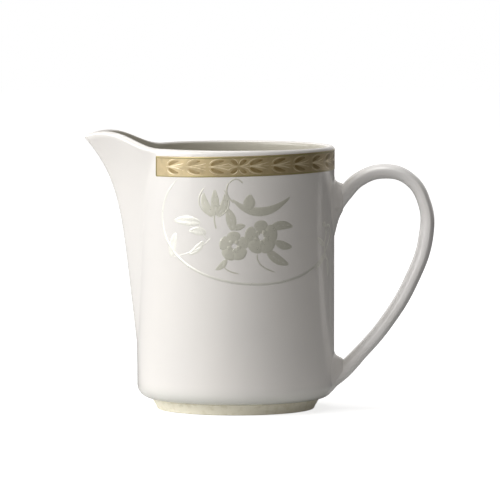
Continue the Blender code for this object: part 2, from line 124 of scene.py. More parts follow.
# The ornament's middle on the front and on the back, and how far it lies under the band.
FRONT_CENTRE = math.radians(-78)
BACK_CENTRE = math.radians(84)
OVAL_CENTRE_DROP = 15.5 * MM


def length_property(name, description, default):
    return bpy.props.FloatProperty(
        name=name, description=description, default=default, unit="LENGTH", precision=5
    )


class CreamJugSizes(bpy.types.PropertyGroup):
    body_radius: length_property("Body Radius", "Outer radius of the cylinder", BODY_RADIUS)
    rim_height: length_property("Rim Height", "Height of the rim above the table", BODY_HIGH.z)
    foot_height: length_property("Foot Height", "Height of the body's underside above the table", BODY_LOW.z)
    foot_radius: length_property(
        "Foot Radius", "Outer radius of the foot ring where it meets the body", (FOOT_HIGH.x - FOOT_LOW.x) / 2
    )
    lip_reach: length_property(
        "Lip Reach", "How far the beak stands out from the cylinder", AXIS_X - LIP_LOW.x - BODY_RADIUS
    )
    handle_reach: length_property(
        "Handle Reach", "How far the handle stands out", HANDLE_HIGH.x - AXIS_X - BODY_RADIUS
    )
    handle_thickness: length_property("Handle Thickness", "Thickness of the handle's strip", 5.6 * MM)
    handle_width: length_property("Handle Width", "Width of the handle's strip", 9.8 * MM)
    band_top: length_property("Band Top", "Height of the gilt band's upper edge", BAND_HIGH.z)
    band_bottom: length_property("Band Bottom", "Height of the gilt band's lower edge", BAND_LOW.z)


def colour_property(name, description, default):
    return bpy.props.FloatVectorProperty(
        name=name, description=description, default=default, subtype="COLOR", size=3, min=0.0, max=1.0
    )


class CreamJugColours(bpy.types.PropertyGroup):
    glaze: colour_property("Glaze", "Main colour of the glazed porcelain", (0.86, 0.835, 0.80))
    glaze_shade: colour_property("Glaze Shade", "Second tone of the glaze, in patches", (0.82, 0.80, 0.775))
    # Painted light: the handle's glaze is whiter than the body's so that the handle looks lit.
    handle_glaze: colour_property("Handle Glaze", "Thinner, whiter glaze of the handle", (0.96, 0.945, 0.93))
    # Painted shade: the glaze inside the jug is darkened for the shade that falls inside it.
    inside_painted_shade: colour_property("Inside Glaze", "Colour of the glaze inside the jug", (0.55, 0.525, 0.45))
    # A darker, greener tone that the glaze takes towards the bottom of the body.
    low_body_tint: colour_property("Pooled Glaze", "Colour where the glaze gathers thick", (0.66, 0.68, 0.62))
    # The foot ring's own pale tone, tinted khaki as painted reflection and shade under the body.
    foot: colour_property("Foot", "Colour of the thinly glazed foot ring", (0.92, 0.88, 0.73))
    foot_shade: colour_property("Foot Shade", "Darker speckle of the foot ring", (0.80, 0.755, 0.59))
    gilt: colour_property("Gilt", "Ground colour of the gilt band", (0.50, 0.39, 0.20))
    gilt_shade: colour_property("Gilt Shade", "Rubbed and thinner parts of the gilding", (0.36, 0.275, 0.13))
    leaf: colour_property("Leaf", "Darker gilding of the laurel leaves", (0.25, 0.17, 0.05))
    rib: colour_property("Rib", "Pale outlines and ribs of the laurel", (0.76, 0.64, 0.42))
    line: colour_property("Line", "Border lines of the band", (0.33, 0.29, 0.10))
    enamel: colour_property("Enamel", "Satin enamel of the raised ornament", (0.71, 0.70, 0.60))
    pale_enamel: colour_property("Pale Enamel", "Enamel of the line, sprig and fronds", (0.84, 0.83, 0.76))
    slip: colour_property("Slip", "Fired slip in the handle's joints", (0.80, 0.77, 0.73))
    floor: colour_property("Floor", "Colour of the floor", (0.55, 0.55, 0.55))


def sizes():
    return bpy.context.scene.cream_jug_sizes


def colours():
    return bpy.context.scene.cream_jug_colours


def smooth_step(value):
    value = min(1.0, max(0.0, value))
    return value * value * (3 - 2 * value)


# ---------------------------------------------------------------- handling pieces


def deselect_all():
    if bpy.context.object is not None and bpy.context.object.mode != "OBJECT":
        bpy.ops.object.mode_set(mode="OBJECT")
    bpy.ops.object.select_all(action="DESELECT")


def hold(obj):
    """Selects one object alone and makes it the active one."""
    deselect_all()
    obj.select_set(True)
    bpy.context.view_layer.objects.active = obj
    return obj


def edit_all(obj):
    hold(obj)
    bpy.ops.object.mode_set(mode="EDIT")
    bpy.ops.mesh.select_mode(type="VERT")
    bpy.ops.mesh.select_all(action="SELECT")


def edit_where(obj, wanted):
    """Opens an object for editing with only the points selected whose place is wanted."""
    edit_all(obj)
    bpy.ops.mesh.select_all(action="DESELECT")
    bpy.ops.object.mode_set(mode="OBJECT")
    for vert in obj.data.vertices:
        vert.select = wanted(vert.co)
    bpy.ops.object.mode_set(mode="EDIT")
    bpy.ops.mesh.select_mode(type="VERT")


def stop_editing():
    bpy.ops.object.mode_set(mode="OBJECT")


def turn_outwards():
    """Points all faces of the shell that is being edited outwards and leaves edit mode."""
    bpy.ops.mesh.select_all(action="SELECT")
    bpy.ops.mesh.normals_make_consistent(inside=False)
    stop_editing()


def reshape(obj, move):
    """Moves every point of a piece to where move puts it."""
    for vert in obj.data.vertices:
        vert.co = move(vert.co)
    obj.data.update()


def settle(obj):
    """Puts the object at the origin, unturned and unscaled, with its place in its mesh."""
    hold(obj)
    bpy.ops.object.transform_apply(location=True, rotation=True, scale=True)


def apply_modifiers(obj):
    hold(obj)
    for modifier in list(obj.modifiers):
        bpy.ops.object.modifier_apply(modifier=modifier.name)


def rename(obj, name):
    obj.name = name
    obj.data.name = name
    return obj


def join(pieces, name):
    deselect_all()
    for piece in pieces:
        piece.select_set(True)
    bpy.context.view_layer.objects.active = pieces[0]
    if len(pieces) > 1:
        bpy.ops.object.join()
    return rename(bpy.context.object, name)


def copy_of(obj):
    hold(obj)
    bpy.ops.object.duplicate(linked=False)
    return bpy.context.object


def complete(obj, material, nodes, smooth_angle=45):
    """Gives a shaped piece its shading and finish, and its place on the frame."""
    settle(obj)
    bpy.ops.object.shade_smooth_by_angle(angle=math.radians(smooth_angle))
    obj.data.materials.clear()
    obj.data.materials.append(material)
    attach(obj, "root")
    if nodes:
        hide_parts(*nodes)
    return obj


# ---------------------------------------------------------------- turned shapes


def draw_profile(name, points, start_angle=0.0):
    """Draws a line of points (distance from the jug's axis, height), one after another, from one corner.

    The line lies in the upright plane through the axis that is turned by start_angle from +X.
    """
    deselect_all()
    bpy.ops.mesh.primitive_plane_add(size=MM, location=(0, 0, 0))
    obj = rename(bpy.context.object, name)
    bpy.ops.object.mode_set(mode="EDIT")
    bpy.ops.mesh.select_mode(type="VERT")
    bpy.ops.mesh.select_all(action="SELECT")
    bpy.ops.mesh.merge(type="CENTER")
    bpy.ops.mesh.select_all(action="SELECT")
    here = Vector((0, 0, 0))
    for number, (distance, height) in enumerate(points):
        there = Vector((AXIS_X + distance * math.cos(start_angle), distance * math.sin(start_angle), height))
        if number == 0:
            bpy.ops.transform.translate(value=there - here)
        else:
            bpy.ops.mesh.extrude_region_move(TRANSFORM_OT_translate={"value": there - here})
        here = there
    stop_editing()
    return obj


def turn(obj, steps, angle=2 * math.pi):
    """Turns a drawn profile anticlockwise about the jug's axis and closes its seam and poles."""
    edit_all(obj)
    bpy.ops.mesh.spin(steps=steps, angle=angle, center=(AXIS_X, 0, 0), axis=(0, 0, -1))
    bpy.ops.mesh.select_all(action="SELECT")
    bpy.ops.mesh.remove_doubles(threshold=MERGE_DISTANCE)
    turn_outwards()
    return obj


def arc_points(centre, radius, start, end, count):
    points = []
    for step in range(count + 1):
        angle = math.radians(start + (end - start) * step / count)
        points.append((centre[0] + radius * math.cos(angle), centre[1] + radius * math.sin(angle)))
    return points


def line_points(start, end, count):
    """Points between two places, without the two themselves."""
    points = []
    for step in range(1, count):
        share = step / count
        points.append((start[0] + (end[0] - start[0]) * share, start[1] + (end[1] - start[1]) * share))
    return points


# ---------------------------------------------------------------- the body with its lip and bosses


def body_profile():
    """The body's half section, from the middle of its underside up the outer wall and down the inner one."""
    size = sizes()
    radius = size.body_radius
    inner = radius - WALL
    sole = size.foot_height
    floor = sole + FLOOR_THICKNESS
    rim = size.rim_height
    middle, dish_edge, seat = ((radius * share, sole + rise) for share, rise in UNDERSIDE)
    profile = [middle] + line_points(middle, dish_edge, 8) + [dish_edge, seat]
    corner = arc_points((radius - OUTER_CORNER, sole + OUTER_CORNER), OUTER_CORNER, -90, 0, 12)
    profile += line_points(profile[-1], corner[0], 3) + corner
    rim_arc = arc_points((radius - WALL / 2, rim - WALL / 2), WALL / 2, 0, 180, 12)
    profile += line_points(corner[-1], rim_arc[0], OUTER_ROWS) + rim_arc
    inner_corner = arc_points((inner - INNER_CORNER, floor + INNER_CORNER), INNER_CORNER, 0, -90, 8)
    profile += line_points(rim_arc[-1], inner_corner[0], INNER_ROWS) + inner_corner
    return profile + line_points(inner_corner[-1], (0.0, floor), 7) + [(0.0, floor)]


def lip_share(height):
    top = sizes().rim_height - WALL / 2
    return (height - LIP_START) / (top - LIP_START)


def lip_section(share):
    """Nose distance and half angle of the beak at a share of its height."""
    size = sizes()
    flare = share**LIP_FLARE_POWER
    nose = size.body_radius + LIP_SWELL + (size.lip_reach - LIP_FLARE - LIP_SWELL) * share + LIP_FLARE * flare
    return nose, LIP_FOOT_ANGLE + LIP_SPREAD * share + LIP_EDGE_SPREAD * flare


def beak_point(across, radius, angle, nose, rounding):
    """Where a point across the beak lies, outwards and sideways, and its share of the way out to the nose."""
    root_x = radius * math.cos(angle)
    root_y = radius * math.sin(angle)
    y = across * root_y
    reach = (math.hypot(y, rounding) - rounding) / (math.hypot(root_y, rounding) - rounding)
    return nose - (nose - root_x) * reach, y, 1 - reach


def draw_out_lip(point):
    """Where a point of the turned body goes when the beak is drawn out of the wall."""
    radius = sizes().body_radius
    x = AXIS_X - point.x
    distance = math.hypot(x, point.y)
    if distance < radius - WALL * BEAK_DEPTH or point.z < LIP_START - LIP_FADE:
        return point
    share = min(1.0, max(0.0, lip_share(point.z)))
    nose, half_angle = lip_section(share)
    angle = math.atan2(point.y, x)
    if abs(angle) >= half_angle:
        return point
    across = angle / half_angle
    outer_x, outer_y, rise_share = beak_point(across, radius, half_angle, nose, LIP_NOSE_ROUND)
    inner_x, inner_y, _ = beak_point(across, radius - WALL, half_angle, nose - LIP_NOSE_WALL, LIP_INNER_ROUND)
    outward = (distance - (radius - WALL)) / WALL
    new_x = inner_x + (outer_x - inner_x) * outward
    new_y = inner_y + (outer_y - inner_y) * outward
    rise = LIP_CREST * math.sin(math.pi * rise_share / LIP_CREST_SPAN) ** 2 * share**LIP_CREST_POWER
    formed = Vector((AXIS_X - new_x, new_y, point.z + rise))
    return point.lerp(formed, smooth_step((point.z - LIP_START + LIP_FADE) / LIP_FADE))


def pad_rise(y, z, pad):
    """1 on a boss's flat face, less and less in its flare, and 0 where that has run out into the wall."""
    centre, face, root, hollow = pad
    level = z - centre
    end = 1 if level > 0 else 2
    at_face = math.hypot(y / face[0], level / face[end])
    at_root = math.hypot(y / root[0], level / root[end])
    if at_face <= 1:
        return 1.0
    if at_root >= 1:
        return 0.0
    spread = (at_face - 1) / (at_face - at_root)
    upward = smooth_step(0.5 + 0.5 * level / face[1])
    return (1 - spread) ** (hollow[1] + (hollow[0] - hollow[1]) * upward)


def on_handle_side(point):
    """True on the outer face of the wall, on the half where the handle sits."""
    radius = sizes().body_radius
    x = point.x - AXIS_X
    return x >= radius * 0.5 and math.hypot(x, point.y) >= radius - WALL * BOSS_DEPTH


def raise_bosses(point):
    """Where a point of the wall goes when the two bosses for the handle swell out of it."""
    if not on_handle_side(point):
        return point
    rise = max(pad_rise(point.y, point.z, UPPER_PAD), pad_rise(point.y, point.z, LOWER_PAD))
    return Vector((point.x + max(0.0, PAD_FACE_X - point.x) * rise, point.y, point.z))


def near_bosses(point):
    if not on_handle_side(point):
        return False
    for centre, _, (sideways, up, down), _ in (UPPER_PAD, LOWER_PAD):
        if abs(point.y) < sideways + MM and -down - MM < point.z - centre < up + MM:
            return True
    return False


def near_crease(point):
    """The strip of wall to each side of the line where the beak leaves the cylinder."""
    share = lip_share(point.z)
    if share < 0 or point.x > AXIS_X:
        return False
    angle = abs(math.atan2(point.y, AXIS_X - point.x))
    half_angle = lip_section(min(1.0, share))[1]
    return abs(angle - half_angle) < CREASE_WIDTH


def on_circle(point):
    """Puts a point of the outer wall back at its exact distance from the axis."""
    radius = sizes().body_radius
    flat = Vector((point.x - AXIS_X, point.y, 0))
    upright = point.z > sizes().foot_height + OUTER_CORNER
    if upright and near_bosses(point) and abs(flat.length - radius) < 0.1 * MM:
        flat = flat.normalized() * radius
    return Vector((AXIS_X + flat.x, flat.y, point.z))


def mark_inner_wall(body):
    """Marks the points of the inner wall and floor, for the painted shade on the glaze inside, before the
    beak is drawn out.
    """
    mark = body.data.attributes.new(INNER_WALL_MARK, "FLOAT", "POINT")
    edge = sizes().body_radius - WALL * 0.9
    top = sizes().rim_height - INNER_WALL_END
    floor = sizes().foot_height + FLOOR_THICKNESS - 0.5 * MM
    for vert in body.data.vertices:
        distance = math.hypot(vert.co.x - AXIS_X, vert.co.y)
        mark.data[vert.index].value = 1.0 if distance < edge and floor < vert.co.z < top else 0.0


class CREAMJUG_OT_make_body(bpy.types.Operator):
    """Turns the body, draws out its lip and raises the bosses for the handle"""

    bl_idname = "creamjug.make_body"
    bl_label = "Make Body"

    def execute(self, context):
        body = turn(draw_profile("jug_body", body_profile()), BODY_STEPS)
        edit_where(body, near_bosses)
        bpy.ops.mesh.subdivide(number_cuts=2)
        stop_editing()
        reshape(body, on_circle)
        mark_inner_wall(body)
        reshape(body, raise_bosses)
        reshape(body, draw_out_lip)
        edit_where(body, near_crease)
        bpy.ops.mesh.vertices_smooth(factor=0.5, repeat=4)
        stop_editing()
        complete(body, body_glaze(), ["body_casting", "pouring_lip"])
        return {"FINISHED"}


class CREAMJUG_OT_make_foot(bpy.types.Operator):
    """Turns the foot ring with its rounded sole"""

    bl_idname = "creamjug.make_foot"
    bl_label = "Make Foot"

    def execute(self, context):
        top = sizes().foot_height
        outer = sizes().foot_radius
        sole = outer - FOOT_TAPER
        inner = sole - SOLE_WIDTH
        profile = [(outer - 0.5 * MM, top), (outer - 0.1 * MM, top - 0.08 * MM), (outer, top - 0.3 * MM)]
        profile += line_points(profile[-1], (sole + SOLE_OUTER_ROUND, 0.7 * MM), 6)
        profile += arc_points((sole, SOLE_OUTER_ROUND), SOLE_OUTER_ROUND, 0, -90, 6)
        profile += line_points((sole, 0.0), (inner, 0.0), 4)
        profile += arc_points((inner, SOLE_INNER_ROUND), SOLE_INNER_ROUND, -90, -180, 6)
        profile += [(inner - 0.6 * MM, 2.0 * MM), (inner - 0.9 * MM, top), profile[0]]
        foot = turn(draw_profile("jug_foot", profile), FOOT_STEPS)
        complete(foot, foot_material(), ["foot_ring"])
        return {"FINISHED"}


# ---------------------------------------------------------------- the handle

# Reach and height of the handle's middle line as shares, and the swell of its section.
HANDLE_LOOP = (
    (-0.045, -0.086, 1.16),
    (0.10, 0.012, 1.00),
    (0.27, 0.102, 0.94),
    (0.53, 0.147, 0.93),
    (0.802, 0.105, 0.86),
    (0.974, -0.040, 0.85),
    (0.99, -0.225, 0.94),
    (0.825, -0.490, 0.93),
    (0.550, -0.735, 0.91),
    (0.271, -0.910, 0.93),
    (0.093, -1.007, 1.07),
    (-0.05, -1.066, 1.12),
)
# The strip's section, in half widths across and half thicknesses inwards and outwards: each place on its
# outline and the curve's two handles there. It is flatter outside and fuller inside, with soft side ridges.
HANDLE_SECTION = (
    ((-1.0, 0.30), (0.0, -0.88), (0.0, 0.26)),
    ((0.0, 1.0), (-0.62, 0.0), (0.62, 0.0)),
    ((1.0, 0.30), (0.0, 0.26), (0.0, -0.88)),
    ((0.0, -1.0), (0.66, 0.0), (-0.66, 0.0)),
)
# Steps between two points of the loop, and between two points of the section.
LOOP_STEPS = 22
SECTION_STEPS = 10


def make_section():
    half_width = sizes().handle_width / 2
    half_depth = sizes().handle_thickness / 2
    deselect_all()
    bpy.ops.curve.primitive_bezier_circle_add(radius=half_width)
    section = rename(bpy.context.object, "handle_section")
    section.data.dimensions = "2D"
    section.data.resolution_u = SECTION_STEPS
    for point, shares in zip(section.data.splines[0].bezier_points, HANDLE_SECTION):
        place, left, right = (Vector((across * half_width, deep * half_depth, 0)) for across, deep in shares)
        point.handle_left_type = "FREE"
        point.handle_right_type = "FREE"
        point.co = place
        point.handle_left = place + left
        point.handle_right = place + right
    return section


class CREAMJUG_OT_make_handle(bpy.types.Operator):
    """Bends the handle's strip into its loop"""

    bl_idname = "creamjug.make_handle"
    bl_label = "Make Handle"

    def execute(self, context):
        size = sizes()
        section = make_section()
        deselect_all()
        bpy.ops.curve.primitive_bezier_curve_add(radius=1)
        handle = rename(bpy.context.object, "jug_handle")
        curve = handle.data
        curve.dimensions = "3D"
        curve.twist_mode = "MINIMUM"
        curve.resolution_u = LOOP_STEPS
        spline = curve.splines[0]
        spline.bezier_points.add(len(HANDLE_LOOP) - 2)
        reach = size.handle_reach - size.handle_thickness / 2
        upper, lower = UPPER_PAD_Z, LOWER_PAD_Z
        for point, (out, drop, swell) in zip(spline.bezier_points, HANDLE_LOOP):
            point.co = (AXIS_X + size.body_radius + reach * out, 0.0, upper + (upper - lower) * drop)
            point.handle_left_type = "AUTO"
            point.handle_right_type = "AUTO"
            point.radius = swell
        curve.bevel_mode = "OBJECT"
        curve.bevel_object = section
        curve.use_fill_caps = True
        hold(handle)
        bpy.ops.object.convert(target="MESH")
        bpy.data.objects.remove(section, do_unlink=True)
        edit_all(handle)
        bpy.ops.mesh.remove_doubles(threshold=MERGE_DISTANCE / 2)
        turn_outwards()
        complete(handle, handle_glaze(), ["handle"])
        return {"FINISHED"}


# The seams of slip: the CAD's layer, the middle of the boss, how far below it the seam lies, and the seam's
# half width and half height.
SEAMS = {
    "upper_seam": ("upper_luting_slip", UPPER_PAD_Z, 0.25 * MM, 4.85 * MM, 4.8 * MM),
    "lower_seam": ("lower_luting_slip", LOWER_PAD_Z, 0.1 * MM, 4.85 * MM, 3.95 * MM),
}
SEAM_ROUND = 0.24 * MM
SEAM_UNEVENNESS = 0.03 * MM


class CREAMJUG_OT_make_seams(bpy.types.Operator):
    """Lays the thin fillets of slip around the two joints of the handle"""

    bl_idname = "creamjug.make_seams"
    bl_label = "Make Luting Seams"

    def execute(self, context):
        for name, (node, pad_height, drop, half_width, half_height) in SEAMS.items():
            deselect_all()
            bpy.ops.mesh.primitive_torus_add(
                major_radius=half_height, minor_radius=SEAM_ROUND, major_segments=96, minor_segments=14
            )
            seam = rename(bpy.context.object, name)
            place = Matrix.Translation((PAD_FACE_X, 0, pad_height - drop))
            turn_to_wall = Matrix.Rotation(math.radians(90), 4, "Y")
            widen = Matrix.Diagonal((1, half_width / half_height, 1, 1))
            seam.data.transform(place @ widen @ turn_to_wall)
            edit_all(seam)
            bpy.ops.transform.vertex_random(offset=SEAM_UNEVENNESS, seed=4)
            bpy.ops.mesh.vertices_smooth(factor=0.5, repeat=2)
            turn_outwards()
            complete(seam, slip_material(), [node])
        return {"FINISHED"}


# ---------------------------------------------------------------- drawing on the wall

# Each stroke of the ornament is a strip with a crown. Its width follows one of these shapes along its length.
STROKE_SHAPES = {
    "leaf": lambda share: max(0.0, math.sin(math.pi * share**0.85)) ** 0.8,
    "petal": lambda share: max(0.0, math.sin(math.pi * share**1.5)) ** 0.62,
    "horn": lambda share: max(0.0, math.sin(math.pi * share)),
    "stem": lambda share: min(1.0, 12 * share + 0.2, 12 * (1 - share) + 0.2),
    "dot": lambda share: math.sqrt(max(0.0, 1 - (2 * share - 1) ** 2)),
}


def bent_path(start, middle, end, count):
    """Points of a bent line that passes through three places."""
    start, middle, end = Vector(start), Vector(middle), Vector(end)
    pull = middle * 2 - (start + end) / 2
    path = []
    for step in range(count + 1):
        share = step / count
        path.append(start * (1 - share) ** 2 + pull * 2 * share * (1 - share) + end * share**2)
    return path


# How a stroke is crowned: how flat its top is, how narrow its tips are and how deep its edges lie in the
# wall, and the groove along the middle of a leaf with its slanting veins.
CROWN_POWER = 5
TIP_SHARE = 0.04
EDGE_DEPTH = 0.04 * MM
GROOVE_DEPTH = 0.45
GROOVE_WIDTH = 0.14
VEIN_HEIGHT = 0.16
VEIN_SLANT = 0.22
STROKE_THICKNESS = 0.1 * MM


def lay_stroke(path, width, shape, rise, veins=0, across=8):
    """A crowned strip along a path on the flat sheet, where x runs round the wall and y up it."""
    count = len(path) - 1
    deselect_all()
    bpy.ops.mesh.primitive_grid_add(x_subdivisions=count, y_subdivisions=across, size=1)
    stroke = bpy.context.object
    profile = STROKE_SHAPES[shape]

    def onto_path(point):
        share = min(1.0, max(0.0, point.x + 0.5))
        side = point.y * 2
        number = min(count, round(share * count))
        ahead = path[min(count, number + 1)] - path[max(0, number - 1)]
        aside = Vector((-ahead.y, ahead.x)).normalized()
        half = width / 2 * max(TIP_SHARE, profile(share))
        place = path[number] + aside * side * half
        height = rise * (1 - abs(side) ** CROWN_POWER)
        if veins:
            height -= rise * GROOVE_DEPTH * math.exp(-((side / GROOVE_WIDTH) ** 2))
            slanting = math.sin(math.tau * veins * (share - VEIN_SLANT * abs(side)))
            height += rise * VEIN_HEIGHT * slanting * (1 - abs(side))
        return Vector((place.x, place.y, height * min(1.0, 3 * profile(share)) - EDGE_DEPTH))

    reshape(stroke, onto_path)
    return stroke


def bent_stroke(shape, start, middle, end, width, rise=0.07, veins=0, steps=16, across=8):
    """One stroke, with its places and sizes in millimetres from the middle of the sheet."""
    path = bent_path(Vector(start) * MM, Vector(middle) * MM, Vector(end) * MM, steps)
    return lay_stroke(path, width * MM, shape, rise * MM, veins, across)


def leaf(start, end, width, bend=0.0, veins=5, rise=0.075):
    """A leaf from its foot to its tip. bend pushes its middle to the left of that line."""
    run = Vector(end) - Vector(start)
    middle = (Vector(start) + Vector(end)) / 2 + Vector((-run.y, run.x)) * bend
    return bent_stroke("leaf", start, middle, end, width, rise, veins)


def stem(start, middle, end, width, rise=0.08, steps=20):
    return bent_stroke("stem", start, middle, end, width, rise, 0, steps, 4)


def turned_copy(piece, centre, angle):
    other = copy_of(piece)
    pivot = Vector((centre[0], centre[1], 0)) * MM
    turning = Matrix.Translation(pivot) @ Matrix.Rotation(angle, 4, "Z") @ Matrix.Translation(-pivot)
    other.data.transform(turning)
    return other


# A flower's whorls of petals: their length and width as shares of its radius, how high they stand in
# millimetres and how far the whorl is turned in degrees. Each petal lies a step higher than the one before.
WHORLS = ((1.0, 1.0, 0.07, 0), (0.46, 0.30, 0.11, 36))
PETALS = 5
FLOWER_EYE = 0.14
PETAL_STEP = 0.016 * MM


def flower(centre, radius, first_angle):
    """Five notched petals and a smaller inner whorl round a middle left bare."""
    pieces = []
    for reach, width, rise, offset in WHORLS:
        angle = math.radians(first_angle + offset)
        outward = Vector((math.cos(angle), math.sin(angle)))
        start = Vector(centre) + outward * radius * FLOWER_EYE
        end = Vector(centre) + outward * radius * reach
        petal = bent_stroke("petal", start, (start + end) / 2, end, radius * width, rise, 0, 14)
        pieces.append(petal)
        for number in range(1, PETALS):
            other = turned_copy(petal, centre, math.tau * number / PETALS)
            other.data.transform(Matrix.Translation((0, 0, PETAL_STEP * number)))
            pieces.append(other)
    return pieces


def wrap_on_wall(obj, centre_angle, middle_height, stand_off=0.0):
    """Carries a flat sheet of strokes round the wall."""
    radius = sizes().body_radius

    def onto_wall(point):
        angle = centre_angle + point.x / radius
        distance = radius + stand_off + point.z
        height = middle_height + point.y
        return Vector((AXIS_X + distance * math.cos(angle), distance * math.sin(angle), height))

    reshape(obj, onto_wall)
    thicken = obj.modifiers.new("thicken", "SOLIDIFY")
    thicken.thickness = STROKE_THICKNESS
    thicken.offset = -1
    apply_modifiers(obj)


# The oval line: its half width and half height, how far its middle lies towards the handle, where it comes
# out from under the band, where its curl begins and how wide that is, and the line's own width and rise.
OVAL_HALF_WIDTH = 37.5 * MM
OVAL_HALF_HEIGHT = 23.1 * MM
OVAL_OFFSET = 1.0 * MM
OVAL_TOP_GAP = 1.25 * MM
OVAL_END = math.radians(345)
OVAL_STEPS = 100
CURL_RADIUS = 3.0 * MM
CURL_STEPS = 27
CURL_STEP_ANGLE = math.radians(9)
CURL_TIGHTENING = 0.022
OVAL_LINE_WIDTH = 1.1 * MM
OVAL_LINE_RISE = 0.085 * MM


def oval_path():
    """The oval from under the band on the lip side, round the bottom, to the curl on the handle side."""
    start = math.pi - math.asin((OVAL_CENTRE_DROP - OVAL_TOP_GAP) / OVAL_HALF_HEIGHT)
    path = []
    for step in range(OVAL_STEPS + 1):
        angle = start + (OVAL_END - start) * step / OVAL_STEPS
        across = OVAL_OFFSET + OVAL_HALF_WIDTH * math.cos(angle)
        path.append(Vector((across, OVAL_HALF_HEIGHT * math.sin(angle))))
    centre = path[-1] - Vector((CURL_RADIUS, 0))
    for step in range(1, CURL_STEPS + 1):
        angle = CURL_STEP_ANGLE * step
        radius = CURL_RADIUS * (1 - CURL_TIGHTENING * step)
        path.append(centre + Vector((radius * math.cos(angle), radius * math.sin(angle))))
    return path


def oval_line():
    return [lay_stroke(oval_path(), OVAL_LINE_WIDTH, "stem", OVAL_LINE_RISE, 0, 6)]


def scroll():
    """The shallow crescent with its thin horns and the tooth that stands in it."""
    return [
        bent_stroke("horn", (-9.6, 8.2), (1.4, 2.5), (14.6, 8.8), 3.9, 0.07, 0, 40),
        stem((-7.8, 5.6), (-10.4, 9.0), (-9.7, 12.9), 0.8, 0.08, 16),
        stem((-9.7, 12.6), (-7.2, 14.1), (-4.8, 12.6), 0.7, 0.08, 16),
        leaf((-2.6, 3.0), (-2.1, 8.9), 5.0, 0.02, 4, 0.09),
    ]


def flower_spray():
    """Two open flowers among their leaves, with two trailing stalks."""
    return [
        *flower((1.8, -6.5), 6.2, 92),
        *flower((-7.9, -9.6), 5.4, 20),
        leaf((-8.6, -4.4), (-10.9, 4.4), 4.4, -0.08, 4),
        leaf((-8.2, -3.8), (-3.6, -2.4), 2.8, 0.08, 4),
        leaf((4.5, -3.9), (14.6, -3.4), 3.9, 0.12),
        leaf((3.6, -10.4), (12.9, -16.4), 4.2, -0.1),
        leaf((6.6, -7.8), (14.2, -10.2), 3.6, -0.08),
        stem((-10.6, -14.2), (-11.0, -17.4), (-6.0, -19.4), 0.6),
        leaf((-10.4, -14.0), (-14.8, -18.0), 2.6, 0.1, 4),
        stem((0.4, -12.4), (1.6, -16.2), (7.1, -19.0), 0.6),
    ]


def leaf_sprig():
    """Four leaves on a forked stalk, on the lip side."""
    return [
        stem((-16.2, -6.6), (-21.8, -11.0), (-31.6, -14.0), 0.5, 0.07),
        stem((-17.4, -7.4), (-19.8, -4.4), (-20.7, -0.6), 0.5, 0.07, 16),
        leaf((-19.6, -1.6), (-31.2, -1.2), 4.4, -0.05),
        leaf((-17.6, -5.2), (-24.6, -4.6), 3.8, -0.08),
        leaf((-32.0, -14.2), (-29.7, -5.0), 4.2, 0.06),
        leaf((-18.8, -7.6), (-25.0, -12.8), 3.0, 0.10),
    ]


def bud():
    """Three upright petals with raised outlines, on a short stalk."""
    foot = (-14.5, 1.0)
    petals = (((-18.8, 9.8), 0.16), ((-14.8, 10.8), 0.0), ((-11.2, 9.5), -0.16))
    return [
        stem((-14.2, -3.5), (-14.9, -0.4), (-14.6, 3.0), 0.8, 0.08, 12),
        *[leaf(foot, tip, 3.7, bend, 3) for tip, bend in petals],
        stem((-15.4, 0.6), (-20.4, 5.0), (-18.6, 11.0), 0.55, 0.10, 18),
        stem((-13.8, 0.6), (-9.8, 4.6), (-11.6, 10.4), 0.55, 0.10, 18),
    ]


def fronds():
    """Three fronds and a seed on a bent stalk, at the oval's end on the handle side."""
    return [
        stem((34.0, -5.4), (31.6, -11.0), (33.8, -16.0), 1.2, 0.08, 24),
        leaf((32.0, -10.6), (26.2, -7.2), 2.8, 0.06, 4),
        leaf((33.2, -13.6), (25.4, -19.4), 2.8, -0.06, 6),
        leaf((33.8, -15.2), (34.2, -22.0), 2.4, 0.08, 4),
        bent_stroke("dot", (30.2, -3.2), (31.4, -3.2), (32.6, -3.2), 2.4, 0.10, 0, 10),
    ]


# The motifs that are laid in the paler enamel.
PALE_MOTIFS = ("oval_line", "leaf_sprig", "fronds")

MOTIFS = {
    "oval_line": oval_line,
    "scroll": scroll,
    "flower_spray": flower_spray,
    "leaf_sprig": leaf_sprig,
    "bud": bud,
    "fronds": fronds,
}


class CREAMJUG_OT_make_enamels(bpy.types.Operator):
    """Lays the raised enamels on the front and the back"""

    bl_idname = "creamjug.make_enamels"
    bl_label = "Make Enamels"

    def execute(self, context):
        middle = sizes().band_bottom - OVAL_CENTRE_DROP
        for motif, draw in MOTIFS.items():
            enamel = print_material("pale_enamel" if motif in PALE_MOTIFS else "enamel")
            front = join(draw(), f"front_enamel_{motif}")
            back = rename(copy_of(front), f"back_enamel_{motif}")
            for piece, side, centre in ((front, "front", FRONT_CENTRE), (back, "back", BACK_CENTRE)):
                wrap_on_wall(piece, centre, middle)
                complete(piece, enamel, [f"{side}_{motif}"])
        return {"FINISHED"}


# ---------------------------------------------------------------- the gilt band

# Half the gap in the band at the lip, how far the band and its edges stand out, and how deep it goes in.
BAND_END = math.radians(37.5)
BAND_RISE = 0.10 * MM
BAND_EDGE = 0.05 * MM
BAND_DEPTH = 0.15 * MM
BAND_STEPS = 288
# The border lines, each with its distance from the band's edge and its width. The first is the upper one.
UPPER_LINE = (0.5 * MM, 0.62 * MM)
LOWER_LINES = ((0.35 * MM, 0.5 * MM), (1.05 * MM, 0.16 * MM))
LINE_FLATNESS = 0.42
# The band was laid a little low, and lower at the lip than at the handle.
BAND_DROP = 0.66 * MM
BAND_TILT = 0.023
LAUREL_PITCH = math.radians(14)
# Where the two garlands meet, how far from there their first leaves lie, and the smaller pair between them.
LAUREL_JOINT = math.radians(-88.2)
LAUREL_GAP = math.radians(11.2)
LAUREL_PAIR_OFFSET = math.radians(3.2)
LAUREL_PAIR_LENGTH = 0.5
# The last leaves lie at least this share of a pitch from the band's ends.
LAUREL_END = 0.4


